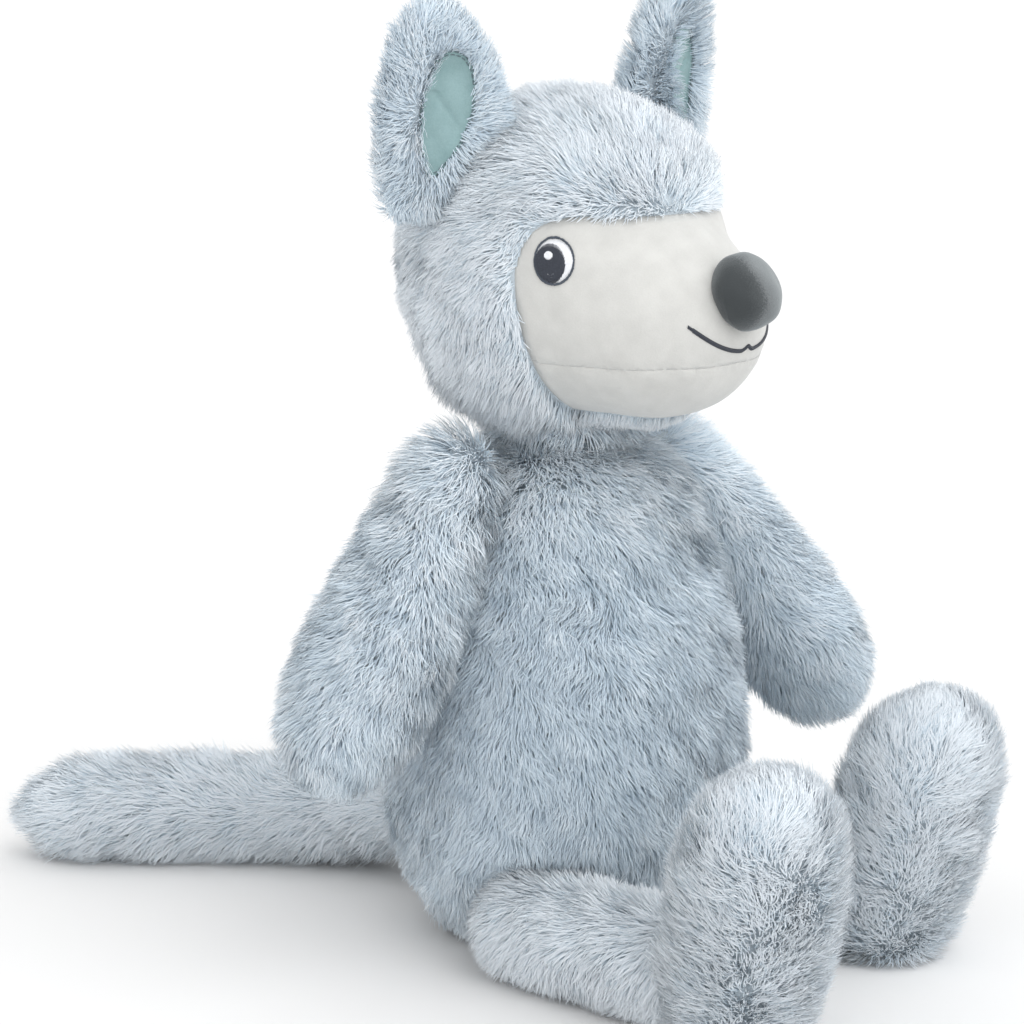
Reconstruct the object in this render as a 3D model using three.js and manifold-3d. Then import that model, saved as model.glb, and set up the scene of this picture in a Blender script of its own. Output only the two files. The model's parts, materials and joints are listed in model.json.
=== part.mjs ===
// Seated plush wolf-dog with long pile covers over loose stuffing.
// Millimetres, +Z up. The dog faces -Y and its left side is +X.
// The origin is the middle of the flat seat panel that it sits on.

import * as THREE from 'three';
import { mergeVertices } from 'three/addons/utils/BufferGeometryUtils.js';
import Module from 'manifold-3d';

const wasm = await Module();
wasm.setup();

// ---------------------------------------------------------------- driving dimensions

const CLOTH = 2.4; // backing cloth with the pile pressed flat against it
const GAP = 0.3; // between pieces that lie against each other
const SOCKET = 1.0; // room round the round end of a limb where it is sewn in
const AROUND = 18; // facets round a large piece
const AROUND_LIMB = 12; // facets round a limb
const FAR = 400; // longer than the whole toy, for cutting planes

const TORSO_FLATTEN = 0.92; // depth of the torso over its width
const TORSO_PROFILE = [[0, 0], [29, 0], [41, 8], [50, 23], [55.5, 46], [54.5, 76], [49, 104],
  [41.5, 128], [31, 143], [16, 151], [0, 153]];
const SEAT_RADIUS = 26;
const PELLET_HEIGHT = 26;

const NECK = { at: [0, 0, 157], radius: 12 };

const HEAD = { at: [0, 0, 206], radii: [47, 46, 46.5] };
const MUZZLE = { at: [0, -32, 189], radii: [34.5, 34, 31] };
const FACE = { halfWidth: 41.5, brow: 223, chin: 157, seam: 178.5, back: -18 };
const NOSE = { at: [0, -68, 201.5], radii: [11.2, 9.5, 11.4] };
const EYE = { turn: 53, height: 4.5, radii: [6.2, 7.6], thick: 1.0 };
const MOUTH = { spread: 33, height: -3.5, rise: 8, thread: 0.7 };

const EAR = { turn: { right: 24, left: 15 }, tilt: 6, cloth: 3.6, lining: 1.4, clear: 1.6 };
const EAR_AT = { right: [-42.5, 6, 241], left: [41, -1.5, 246] };

const ARM = { radius: 12.5, flatten: 0.9 };
const ARM_AT = { right: [-46.5, 2.5, 146], left: [52, 1, 137] };
const ARM_PROFILE = [[0, -12.5], [8.8, -8.8], [12.5, 0], [15.5, 20], [19, 45], [20, 65], [17.5, 82],
  [10, 93], [0, 96]];
const ARM_TOWARDS = { right: [-0.475, 0.1, -0.86], left: [0.37, -0.43, -0.82] };

const LEG = {
  at: [45, -26, 15], radius: 15, raises: [0, 8, 15],
  reach: { right: 75, left: 63.5 }, splay: { right: -2.2, left: -3 },
};
const FOOT = { height: 79, halfWidth: 22.5, halfDepth: 21, leanForward: 11, leanOut: 5, soleDepth: 9 };
const FOOT_PROFILE = [[0, 0], [0.62, 0], [0.8, 0.06], [0.93, 0.2], [0.99, 0.42], [1, 0.62],
  [0.9, 0.82], [0.62, 0.95], [0, 1]];

const TAIL = { at: [0, 50, 27], radius: 11, slab: 36, seamGap: 0.6 };
const TAIL_PROFILE = [[0, -11], [7.8, -7.8], [11, 0], [12.5, 30], [14, 74], [14.6, 112], [11.5, 136],
  [0, 147]];
const TAIL_ROUTE = [[0, 0, 0], [-7, 38, -9.5], [-34, 80, -12.4], [-78, 124, -11.6]];

// ---------------------------------------------------------------- materials

function cloth(color, roughness = 0.95) {
  return new THREE.MeshStandardMaterial({ color, roughness, metalness: 0 });
}

const fur = () => cloth(0xb8c4d0);
const teal = () => cloth(0x96c1be);
const velour = () => cloth(0xe8e7e4);
const charcoal = () => cloth(0x5a5e5f);
const thread = () => cloth(0x323746, 0.7);
const filling = () => cloth(0xf4f4f0);
const bagCloth = () => cloth(0xe6e2d8);

// ---------------------------------------------------------------- solids

const radians = THREE.MathUtils.degToRad;

function solid(geometry) {
  const bare = geometry.clone();
  bare.deleteAttribute('normal');
  bare.deleteAttribute('uv');
  const merged = mergeVertices(bare, 1e-3);
  const corners = merged.index.array;
  const kept = [];
  for (let i = 0; i < corners.length; i += 3) {
    const [a, b, c] = corners.slice(i, i + 3);
    if (a !== b && b !== c && c !== a) kept.push(a, b, c);
  }
  return new wasm.Manifold(new wasm.Mesh({
    numProp: 3,
    vertProperties: new Float32Array(merged.attributes.position.array),
    triVerts: new Uint32Array(kept),
  }));
}

function geometryOf(body) {
  const mesh = body.getMesh();
  const geometry = new THREE.BufferGeometry();
  const flat = new Float32Array((mesh.vertProperties.length / mesh.numProp) * 3);
  for (let i = 0; i < flat.length / 3; i += 1) {
    flat.set(mesh.vertProperties.slice(i * mesh.numProp, i * mesh.numProp + 3), i * 3);
  }
  geometry.setAttribute('position', new THREE.BufferAttribute(flat, 3));
  geometry.setIndex(new THREE.BufferAttribute(new Uint32Array(mesh.triVerts), 1));
  return geometry;
}

// A smooth outline through a few points, spun about +Z.
function spun(points, around, rows) {
  const curve = new THREE.SplineCurve(points.map(([r, z]) => new THREE.Vector2(r, z)));
  const smooth = curve.getPoints(rows);
  const heights = points.map(([, z]) => z);
  smooth.forEach((p) => {
    p.x = Math.max(p.x, 0);
    p.y = THREE.MathUtils.clamp(p.y, Math.min(...heights), Math.max(...heights));
  });
  smooth[0].x = 0;
  smooth[smooth.length - 1].x = 0;
  return new THREE.LatheGeometry(smooth, around).rotateX(Math.PI / 2);
}

// The same outline drawn in by a cloth's thickness.
function drawnIn(points, by) {
  const lows = points.map(([, z]) => z);
  const low = Math.min(...lows);
  const high = Math.max(...lows);
  const squeeze = (high - low - 2 * by) / (high - low);
  return points.map(([r, z]) => [Math.max(r - by, 0), low + by + (z - low) * squeeze]);
}

function ellipsoid({ at, radii }, grow = 0, around = AROUND, rows = 12) {
  const geometry = new THREE.SphereGeometry(1, around, rows).rotateX(Math.PI / 2);
  geometry.scale(radii[0] + grow, radii[1] + grow, radii[2] + grow);
  return solid(geometry.translate(...at));
}

function ball(at, radius) {
  return ellipsoid({ at, radii: [radius, radius, radius] }, 0, AROUND_LIMB, 8);
}

function block(low, high) {
  const size = low.map((v, i) => high[i] - v);
  const middle = low.map((v, i) => (high[i] + v) / 2);
  return solid(new THREE.BoxGeometry(...size).translate(...middle));
}

function placed(geometry, matrix) {
  return solid(geometry.clone().applyMatrix4(matrix));
}

// A frame at a point whose +Z runs along a direction and whose +X stays level.
function along(at, towards) {
  const z = new THREE.Vector3(...towards).normalize();
  const x = new THREE.Vector3(0, 1, 0).cross(z).normalize();
  const y = z.clone().cross(x);
  return new THREE.Matrix4().makeBasis(x, y, z).setPosition(...at);
}

const toy = new THREE.Group();

function add(name, body, material) {
  const mesh = new THREE.Mesh(geometryOf(body), material);
  mesh.name = name;
  toy.add(mesh);
}

// ---------------------------------------------------------------- limb sockets

const mirrored = (at, sign) => [at[0] * sign, at[1], at[2]];
const SIDES = [['right', -1], ['left', 1]];

// The way that a leg points, level or raised by some degrees.
function legForward(side, sign, raise = 0) {
  const splay = radians(LEG.splay[side]);
  const level = Math.cos(radians(raise));
  return [sign * Math.sin(splay) * level, -Math.cos(splay) * level, Math.sin(radians(raise))];
}

// The room beside the belly that a leg needs.
function legChannel(side, sign, raise) {
  const radius = LEG.radius + SOCKET;
  const rod = new THREE.CylinderGeometry(radius, radius, LEG.reach[side], AROUND_LIMB).rotateX(Math.PI / 2);
  rod.translate(0, 0, LEG.reach[side] / 2);
  return placed(rod, along(mirrored(LEG.at, sign), legForward(side, sign, raise)));
}

const sockets = [ball(NECK.at, NECK.radius + SOCKET), ball(TAIL.at, TAIL.radius + SOCKET)];
for (const [side, sign] of SIDES) {
  sockets.push(ball(ARM_AT[side], ARM.radius + SOCKET));
  sockets.push(ball(mirrored(LEG.at, sign), LEG.radius + SOCKET));
  for (const raise of LEG.raises) sockets.push(legChannel(side, sign, raise));
}

function withSockets(body) {
  return sockets.reduce((left, socket) => left.subtract(socket), body);
}

// ---------------------------------------------------------------- torso

function torsoSolid(drawIn) {
  const profile = drawIn > 0 ? drawnIn(TORSO_PROFILE, drawIn) : TORSO_PROFILE;
  return solid(spun(profile, AROUND, 11).scale(1, TORSO_FLATTEN, 1));
}

function seatDisc(radius, low, high) {
  const disc = new THREE.CylinderGeometry(radius, radius, high - low, AROUND).rotateX(Math.PI / 2);
  return solid(disc.scale(1, TORSO_FLATTEN, 1).translate(0, 0, (low + high) / 2));
}

const torsoCover = withSockets(torsoSolid(0).subtract(torsoSolid(CLOTH)))
  .subtract(seatDisc(SEAT_RADIUS + GAP, -1, CLOTH + 1));
const frontHalf = block([-FAR, -FAR, -FAR], [FAR, -GAP / 2, FAR]);
const backHalf = block([-FAR, GAP / 2, -FAR], [FAR, FAR, FAR]);
add('torso_front_cover', torsoCover.intersect(frontHalf), fur());
add('torso_back_cover', torsoCover.intersect(backHalf), fur());
add('seat_panel', seatDisc(SEAT_RADIUS, 0, CLOTH - GAP), fur());

const torsoFilling = withSockets(torsoSolid(CLOTH + GAP));
const pelletTop = CLOTH + PELLET_HEIGHT;
const pelletSpace = block([-FAR, -FAR, -FAR], [FAR, FAR, pelletTop]);
add('seat_pellet_bag', torsoFilling.intersect(pelletSpace), bagCloth());
const aboveBag = block([-FAR, -FAR, pelletTop + GAP], [FAR, FAR, FAR]);
add('torso_stuffing', torsoFilling.intersect(aboveBag), filling());
add('neck_stuffing', ball(NECK.at, NECK.radius), filling());

// ---------------------------------------------------------------- head

const neckSocket = ball(NECK.at, NECK.radius + SOCKET);

function headWithMuzzle(grow) {
  return ellipsoid(HEAD, grow).add(ellipsoid(MUZZLE, grow));
}

// The front of the head inside an egg-shaped outline, which the short pile face fills.
function faceSpace(grow) {
  const wide = FACE.halfWidth + grow;
  const top = FACE.brow + grow;
  const bottom = FACE.chin - grow;
  const cheek = FACE.seam + 8;
  const outline = new THREE.Shape();
  outline.moveTo(-wide, cheek);
  outline.bezierCurveTo(-wide, top - 12, -wide + 6, top, -wide + 20, top);
  outline.lineTo(wide - 20, top);
  outline.bezierCurveTo(wide - 6, top, wide, top - 12, wide, cheek);
  outline.bezierCurveTo(wide, bottom + 16, wide - 14, bottom, 0, bottom);
  outline.bezierCurveTo(-wide + 14, bottom, -wide, bottom + 16, -wide, cheek);
  const prism = new THREE.ExtrudeGeometry(outline, { depth: FAR, bevelEnabled: false, curveSegments: 6 });
  return solid(prism.rotateX(Math.PI / 2).translate(0, FACE.back + grow, 0));
}

const headShell = ellipsoid(HEAD).subtract(ellipsoid(HEAD, -CLOTH)).subtract(neckSocket);
const headFur = headShell.subtract(faceSpace(GAP)).subtract(ellipsoid(MUZZLE, GAP));
const leftHalf = block([GAP / 2, -FAR, -FAR], [FAR, FAR, FAR]);
const rightHalf = block([-FAR, -FAR, -FAR], [-GAP / 2, FAR, FAR]);
add('head_right_cover', headFur.intersect(rightHalf), fur());
add('head_left_cover', headFur.intersect(leftHalf), fur());

const faceShell = headWithMuzzle(0).subtract(headWithMuzzle(-CLOTH))
  .subtract(neckSocket).intersect(faceSpace(0));
const aboveSeam = block([-FAR, -FAR, FACE.seam + GAP / 2], [FAR, FAR, FAR]);
const belowSeam = block([-FAR, -FAR, -FAR], [FAR, FAR, FACE.seam - GAP / 2]);
add('face_panel', faceShell.intersect(aboveSeam), velour());
add('chin_panel', faceShell.intersect(belowSeam), velour());
const headInside = ellipsoid(HEAD, -CLOTH - GAP)
  .add(ellipsoid(MUZZLE, -CLOTH - GAP).intersect(faceSpace(-CLOTH)));
add('head_stuffing', headInside.subtract(neckSocket), filling());

const noseSolid = ellipsoid(NOSE, 0, AROUND_LIMB, 10).subtract(headWithMuzzle(GAP));
add('nose', noseSolid, charcoal());

// Each eye is a pad of satin stitches that follows the curve of the head.
for (const [side, sign] of SIDES) {
  const turn = radians(EYE.turn);
  const outwards = [sign * Math.sin(turn), -Math.cos(turn), EYE.height / HEAD.radii[2]];
  const plug = new THREE.CylinderGeometry(1, 1, FAR, 14).rotateX(Math.PI / 2);
  plug.scale(EYE.radii[0], EYE.radii[1], 1).translate(0, 0, FAR / 2);
  const rod = placed(plug, along(HEAD.at, outwards));
  const pad = ellipsoid(HEAD, GAP + EYE.thick).subtract(ellipsoid(HEAD, GAP));
  add(`eye_${side}`, pad.intersect(rod), thread());
}

// The smile is one thick line of thread that stands just off the muzzle.
class Smile extends THREE.Curve {
  getPoint(t, target = new THREE.Vector3()) {
    const turn = radians(MOUTH.spread) * (2 * t - 1);
    const lift = MOUTH.height + MOUTH.rise * (2 * t - 1) ** 2;
    const stand = MOUTH.thread + 2 * GAP;
    const level = Math.sqrt(1 - (lift / MUZZLE.radii[2]) ** 2);
    const reach = MUZZLE.radii.map((r) => (r + stand) * level);
    return target.set(
      MUZZLE.at[0] + reach[0] * Math.sin(turn),
      MUZZLE.at[1] - reach[1] * Math.cos(turn),
      MUZZLE.at[2] + lift,
    );
  }
}

const strand = new THREE.Shape();
strand.absarc(0, 0, MOUTH.thread, 0, 2 * Math.PI);
const smile = new THREE.ExtrudeGeometry(strand, {
  steps: 16, curveSegments: 4, bevelEnabled: false, extrudePath: new Smile(),
});
add('mouth_stitching', solid(smile).subtract(ellipsoid(NOSE, GAP)), thread());

// ---------------------------------------------------------------- ears

// Outward is +x in the outline and the tip of the ear points up.
function earOutline(inset = 0) {
  const outline = new THREE.Shape();
  const k = inset;
  outline.moveTo(-19 + k, 2 + k);
  outline.quadraticCurveTo(-12 + k, 24, -4 + k, 34 - k);
  outline.quadraticCurveTo(3, 43 - k, 11 - k, 41 - k);
  outline.quadraticCurveTo(19 - k, 36, 21 - k, 18);
  outline.quadraticCurveTo(24 - k, 0, 19 - k, -20 + k);
  outline.lineTo(-10, -20 + k);
  outline.closePath();
  return outline;
}

function leaf(grow) {
  const outline = new THREE.Shape();
  outline.moveTo(9, -9.5 - grow);
  outline.bezierCurveTo(16 + grow, 0, 12 + grow, 28.5 + grow, 3.5, 28.5 + grow);
  outline.bezierCurveTo(-9 - grow, 29 + grow, -8 - grow, 2, 9, -9.5 - grow);
  return outline;
}

for (const [side, sign] of SIDES) {
  const place = new THREE.Matrix4().makeRotationZ(radians(EAR.turn[side] * sign))
    .multiply(new THREE.Matrix4().makeRotationX(radians(90 + EAR.tilt)));
  place.setPosition(...EAR_AT[side]);
  const slab = (outline, low, high) => {
    const geometry = new THREE.ExtrudeGeometry(outline, {
      depth: high - low, bevelEnabled: false, curveSegments: 7,
    }).translate(0, 0, low);
    let body = solid(geometry);
    if (sign < 0) body = body.mirror([1, 0, 0]);
    return solid(geometryOf(body).applyMatrix4(place)).subtract(ellipsoid(HEAD, EAR.clear));
  };
  const open = slab(leaf(GAP), -FAR, FAR);
  add(`ear_${side}_back`, slab(earOutline(), -EAR.cloth, 0), fur());
  add(`ear_${side}_front`, slab(earOutline(1.5), GAP, EAR.cloth + GAP).subtract(open), fur());
  add(`ear_${side}_lining`, slab(leaf(0), GAP, EAR.lining + GAP), teal());
}

// ---------------------------------------------------------------- arms

for (const [side, sign] of SIDES) {
  const place = along(ARM_AT[side], ARM_TOWARDS[side]);
  const blob = (drawIn, rows) => {
    const profile = drawIn > 0 ? drawnIn(ARM_PROFILE, drawIn) : ARM_PROFILE;
    return placed(spun(profile, AROUND_LIMB, rows).scale(ARM.flatten, 1, 1), place);
  };
  const shell = blob(0, 9).subtract(blob(CLOTH, 9));
  const half = (turned) => {
    const space = new THREE.BoxGeometry(FAR, FAR, FAR).translate((turned * (FAR + GAP)) / 2, 0, 0);
    return placed(space, place);
  };
  add(`arm_${side}_outer_cover`, shell.intersect(half(-sign)), fur());
  add(`arm_${side}_inner_cover`, shell.intersect(half(sign)), fur());
  add(`arm_${side}_stuffing`, blob(CLOTH + GAP, 9), filling());
}

// ---------------------------------------------------------------- legs and feet

for (const [side, sign] of SIDES) {
  const at = mirrored(LEG.at, sign);
  const forward = legForward(side, sign);
  const legPlace = along(at, forward);
  const heel = at.map((v, i) => v + forward[i] * LEG.reach[side]);

  const footBlob = (drawIn) => {
    const wide = FOOT.halfWidth - drawIn;
    const profile = FOOT_PROFILE.map(([r, z]) => [r * wide, drawIn + z * (FOOT.height - 2 * drawIn)]);
    const geometry = spun(profile, AROUND_LIMB, 10);
    geometry.scale(1, (FOOT.halfDepth - drawIn) / wide, 1);
    const lean = new THREE.Matrix4().set(
      1, 0, sign * Math.tan(radians(FOOT.leanOut)), heel[0],
      0, 1, -Math.tan(radians(FOOT.leanForward)), heel[1],
      0, 0, 1, 0,
      0, 0, 0, 1,
    );
    return placed(geometry, lean);
  };
  const tube = (drawIn) => {
    const r = LEG.radius - drawIn;
    const end = LEG.reach[side];
    const profile = [[0, -r], [r * 0.7, -r * 0.7], [r, 0], [r, end * 0.5], [r * 0.94, end], [0, end + 1]];
    return placed(spun(profile, AROUND_LIMB, 7), legPlace);
  };
  const foot = footBlob(0);
  const legShell = tube(0).subtract(tube(CLOTH)).subtract(footBlob(-GAP));
  const floor = block([-FAR, -FAR, -FAR], [FAR, FAR, 0]);
  add(`leg_${side}_cover`, legShell.subtract(floor), fur());
  add(`leg_${side}_stuffing`, tube(CLOTH + GAP).subtract(footBlob(-GAP)), filling());

  const footShell = foot.subtract(footBlob(CLOTH));
  const soleFront = heel[1] - FOOT.halfDepth + FOOT.soleDepth;
  const lean = Math.tan(radians(FOOT.leanForward));
  const soleSpace = (grow) => {
    const space = new THREE.BoxGeometry(FAR, FAR, FAR).translate(0, soleFront + grow - FAR / 2, 0);
    const shear = new THREE.Matrix4().set(1, 0, 0, 0, 0, 1, -lean, 0, 0, 0, 1, 0, 0, 0, 0, 1);
    return placed(space, shear);
  };
  add(`foot_${side}_cover`, footShell.subtract(soleSpace(GAP)), fur());
  add(`foot_${side}_sole`, footShell.intersect(soleSpace(0)), fur());
  add(`foot_${side}_stuffing`, footBlob(CLOTH + GAP), filling());
}

// ---------------------------------------------------------------- tail

const tailCurve = new THREE.CatmullRomCurve3(
  TAIL_ROUTE.map(([x, y, z]) => new THREE.Vector3(TAIL.at[0] + x, TAIL.at[1] + y, TAIL.at[2] + z)),
);
const TAIL_LENGTH = tailCurve.getLength();

// A straight blob along +Z, bent so that its axis follows the tail's route.
function bent(geometry) {
  const place = geometry.attributes.position;
  const point = new THREE.Vector3();
  for (let i = 0; i < place.count; i += 1) {
    point.fromBufferAttribute(place, i);
    const t = THREE.MathUtils.clamp(point.z / TAIL_LENGTH, 0, 1);
    const centre = tailCurve.getPointAt(t);
    const tangent = tailCurve.getTangentAt(t);
    const side = new THREE.Vector3(0, 0, 1).cross(tangent).normalize();
    const up = tangent.clone().cross(side);
    const beyond = point.z - t * TAIL_LENGTH;
    centre.addScaledVector(tangent, beyond).addScaledVector(side, point.x).addScaledVector(up, point.y);
    place.setXYZ(i, centre.x, centre.y, centre.z);
  }
  return geometry;
}

function tailBlob(drawIn) {
  const profile = drawIn > 0 ? drawnIn(TAIL_PROFILE, drawIn) : TAIL_PROFILE;
  return spun(profile, AROUND_LIMB, 11);
}

const tailShell = solid(bent(tailBlob(0))).subtract(solid(bent(tailBlob(CLOTH))));
const tailHalf = (turned) => {
  const slab = new THREE.BoxGeometry(TAIL.slab, TAIL.slab, TAIL_LENGTH + TAIL.slab, 1, 1, 20);
  return solid(bent(slab.translate(0, (turned * (TAIL.slab + TAIL.seamGap)) / 2, TAIL_LENGTH / 2)));
};
add('tail_upper_cover', tailShell.intersect(tailHalf(1)), fur());
add('tail_lower_cover', tailShell.intersect(tailHalf(-1)), fur());
add('tail_stuffing', solid(bent(tailBlob(CLOTH + GAP))), filling());

export default toy;
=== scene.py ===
"""Looks of a seated plush wolf-dog: long frosted pile on sewn covers, a short pile face,
a velvet nose, embroidered eyes and smile, and loose filling inside every part.

Metres, +Z up. The dog faces -Y and its left side is +X."""

import json
import math

import bmesh
import bpy
import numpy as np
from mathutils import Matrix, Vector
from mathutils.bvhtree import BVHTree
from mathutils.kdtree import KDTree


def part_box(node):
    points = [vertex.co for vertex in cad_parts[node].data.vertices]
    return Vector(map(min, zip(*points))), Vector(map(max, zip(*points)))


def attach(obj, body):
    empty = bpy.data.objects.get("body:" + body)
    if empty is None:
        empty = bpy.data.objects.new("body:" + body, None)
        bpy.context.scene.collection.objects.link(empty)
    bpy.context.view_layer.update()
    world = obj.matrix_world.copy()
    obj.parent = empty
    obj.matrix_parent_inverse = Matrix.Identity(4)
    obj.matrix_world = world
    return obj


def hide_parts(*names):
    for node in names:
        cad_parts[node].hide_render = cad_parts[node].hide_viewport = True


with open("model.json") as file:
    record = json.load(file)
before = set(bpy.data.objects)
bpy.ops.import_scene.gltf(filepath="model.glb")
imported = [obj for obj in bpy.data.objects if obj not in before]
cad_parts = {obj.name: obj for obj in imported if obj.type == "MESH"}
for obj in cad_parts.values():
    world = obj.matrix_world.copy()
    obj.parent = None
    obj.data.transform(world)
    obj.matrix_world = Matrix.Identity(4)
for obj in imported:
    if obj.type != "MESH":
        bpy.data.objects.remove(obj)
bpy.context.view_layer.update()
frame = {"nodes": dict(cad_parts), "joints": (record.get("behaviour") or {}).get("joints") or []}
MM = 0.001
SIDES = (("right", -1), ("left", 1))
random = np.random.default_rng(29)

# ---------------------------------------------------------------- camera and studio

AZIMUTH, ELEVATION, DISTANCE = math.radians(-48), math.radians(12), 0.9
AIM_HEIGHT, AIM_SHIFT = 0.1284, -0.01605
LENS = 104.5


def add_camera():
    level = Vector((math.cos(AZIMUTH), math.sin(AZIMUTH), 0))
    away = Vector((math.sin(AZIMUTH) * math.cos(ELEVATION),
                   -math.cos(AZIMUTH) * math.cos(ELEVATION), math.sin(ELEVATION)))
    camera = bpy.data.objects.new("camera", bpy.data.cameras.new("camera"))
    camera.data.lens = LENS
    camera.data.sensor_width = 36
    camera.location = Vector((0, 0, AIM_HEIGHT)) + AIM_SHIFT * level + DISTANCE * away
    camera.rotation_euler = (-away).to_track_quat("-Z", "Y").to_euler()
    bpy.context.scene.collection.objects.link(camera)
    bpy.context.scene.camera = camera


def add_lamp(name, comes_from, spread, strength):
    """A very soft distant lamp, so that the floor is lit evenly."""
    lamp = bpy.data.lights.new(name, "SUN")
    lamp.energy = strength
    lamp.angle = math.radians(spread)
    holder = bpy.data.objects.new(name, lamp)
    holder.rotation_euler = Vector(comes_from).to_track_quat("Z", "Y").to_euler()
    bpy.context.scene.collection.objects.link(holder)


add_camera()
scene = bpy.context.scene
scene.view_settings.view_transform = "Standard"
world = bpy.data.worlds.new("studio")
world.use_nodes = True
world.node_tree.nodes["Background"].inputs["Color"].default_value = (1, 1, 1, 1)
world.node_tree.nodes["Background"].inputs["Strength"].default_value = 1.0
scene.world = world
add_lamp("top", (-0.1, -0.25, 1), 80, 0.5)
add_lamp("key", (0.1, -1, 1), 60, 0.8)
add_lamp("fill", (-0.5, -1, 0.1), 90, 0.35)

# ---------------------------------------------------------------- small helpers


def unit(v):
    return v / np.maximum(np.linalg.norm(v, axis=-1, keepdims=True), 1e-9)


def dots(a, b):
    return (a * b).sum(-1, keepdims=True)


class Waves:
    """Smooth noise in space, about -1 to 1, with lumps of one size."""

    def __init__(self, size, seed, count=16):
        rng = np.random.default_rng(seed)
        pitch = 2 * np.pi / size * rng.uniform(0.6, 1.5, (count, 1))
        self.waves = unit(rng.normal(size=(count, 3))) * pitch
        self.phase = rng.uniform(0, 2 * np.pi, count)
        self.gain = math.sqrt(1 / count)

    def __call__(self, points):
        return np.sin(points @ self.waves.T + self.phase).sum(-1) * self.gain


def linear(rgb):
    """An sRGB colour from 0 to 255 as linear light."""
    c = np.array(rgb, float) / 255
    return tuple(np.where(c <= 0.04045, c / 12.92, ((c + 0.055) / 1.055) ** 2.4)) + (1.0,)


def mesh_from(name, points, groups, smooth=True):
    """A mesh from points and (corners, material numbers) groups, each group of one corner count."""
    mesh = bpy.data.meshes.new(name)
    mesh.vertices.add(len(points))
    mesh.vertices.foreach_set("co", np.asarray(points, np.float32).ravel())
    corners = np.concatenate([np.asarray(g[0]).ravel() for g in groups])
    totals = np.concatenate([np.full(len(g[0]), np.asarray(g[0]).shape[1]) for g in groups])
    starts = np.concatenate([[0], np.cumsum(totals)[:-1]])
    mesh.loops.add(len(corners))
    mesh.loops.foreach_set("vertex_index", corners.astype(np.int32))
    mesh.polygons.add(len(totals))
    mesh.polygons.foreach_set("loop_start", starts.astype(np.int32))
    slots = np.concatenate([np.broadcast_to(g[1], len(g[0])) for g in groups])
    mesh.polygons.foreach_set("material_index", slots.astype(np.int32))
    mesh.update(calc_edges=True)
    if smooth:
        mesh.shade_smooth()
    return mesh


def piece(name, mesh, body, materials, replaces=()):
    """A finished piece of the toy: it rides on a body and takes a material slot's finish."""
    made = bpy.data.objects.new(name, mesh)
    scene.collection.objects.link(made)
    for material in materials:
        mesh.materials.append(material)
    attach(made, body)
    if replaces:
        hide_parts(*replaces)
    return made


def modified(mesh, *modifiers):
    """A new mesh: this one with modifiers applied, each given as (type, settings)."""
    holder = bpy.data.objects.new("work", mesh)
    scene.collection.objects.link(holder)
    for kind, settings in modifiers:
        modifier = holder.modifiers.new(kind, kind)
        for key, value in settings.items():
            setattr(modifier, key, value)
    graph = bpy.context.evaluated_depsgraph_get()
    result = bpy.data.meshes.new_from_object(holder.evaluated_get(graph))
    bpy.data.objects.remove(holder)
    return result


def points_of(mesh):
    flat = np.empty(len(mesh.vertices) * 3, np.float32)
    mesh.vertices.foreach_get("co", flat)
    return flat.reshape(-1, 3).astype(float)


def cad_points(node):
    return points_of(frame["nodes"][node].data)


def tree_of(node):
    mesh = frame["nodes"][node].data
    return BVHTree.FromPolygons([v.co for v in mesh.vertices],
                                [tuple(p.vertices) for p in mesh.polygons])


# ---------------------------------------------------------------- materials


class Shader:
    """A Principled material built from a few named nodes."""

    def __init__(self, name, roughness=0.9, sheen=0.0, specular=0.3):
        self.material = bpy.data.materials.new(name)
        self.material.use_nodes = True
        self.nodes = self.material.node_tree.nodes
        self.links = self.material.node_tree.links
        self.surface = self.nodes["Principled BSDF"]
        self.surface.inputs["Roughness"].default_value = roughness
        self.surface.inputs["Sheen Weight"].default_value = sheen
        self.surface.inputs["Sheen Roughness"].default_value = 0.5
        self.surface.inputs["Specular IOR Level"].default_value = specular
        self.place = None

    def node(self, kind, inputs=None, **settings):
        made = self.nodes.new(kind)
        for key, value in settings.items():
            setattr(made, key, value)
        for key, value in (inputs or {}).items():
            if isinstance(value, bpy.types.NodeSocket):
                self.links.new(value, made.inputs[key])
            else:
                made.inputs[key].default_value = value
        return made

    def coordinates(self, stretch=(1, 1, 1)):
        if self.place is None:
            self.place = self.node("ShaderNodeTexCoord").outputs["Object"]
        made = self.node("ShaderNodeMapping", {"Vector": self.place, "Scale": stretch})
        return made.outputs["Vector"]

    def noise(self, size, detail=3.0, stretch=(1, 1, 1)):
        inputs = {"Vector": self.coordinates(stretch), "Scale": 1 / size, "Detail": detail}
        return self.node("ShaderNodeTexNoise", inputs).outputs["Fac"]

    def ramp(self, value, stops):
        made = self.node("ShaderNodeValToRGB", {"Fac": value})
        band = made.color_ramp
        while len(band.elements) < len(stops):
            band.elements.new(0.5)
        for element, (at, rgb) in zip(band.elements, stops):
            element.position = at
            element.color = linear(rgb)
        return made.outputs["Color"]

    def math(self, operation, a, b=0.0):
        return self.node("ShaderNodeMath", {0: a, 1: b}, operation=operation).outputs[0]

    def colour(self, socket):
        self.links.new(socket, self.surface.inputs["Base Color"])

    def bump(self, *layers):
        """Bumps from (height, depth in metres, strength) layers, one over the other."""
        normal = None
        for height, depth, strength in layers:
            inputs = {"Height": height, "Distance": depth, "Strength": strength}
            if normal is not None:
                inputs["Normal"] = normal
            normal = self.node("ShaderNodeBump", inputs).outputs["Normal"]
        self.links.new(normal, self.surface.inputs["Normal"])


def shades(rgb, by):
    """The same colour lighter or darker."""
    return tuple(max(0, min(255, c + by)) for c in rgb)


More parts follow.
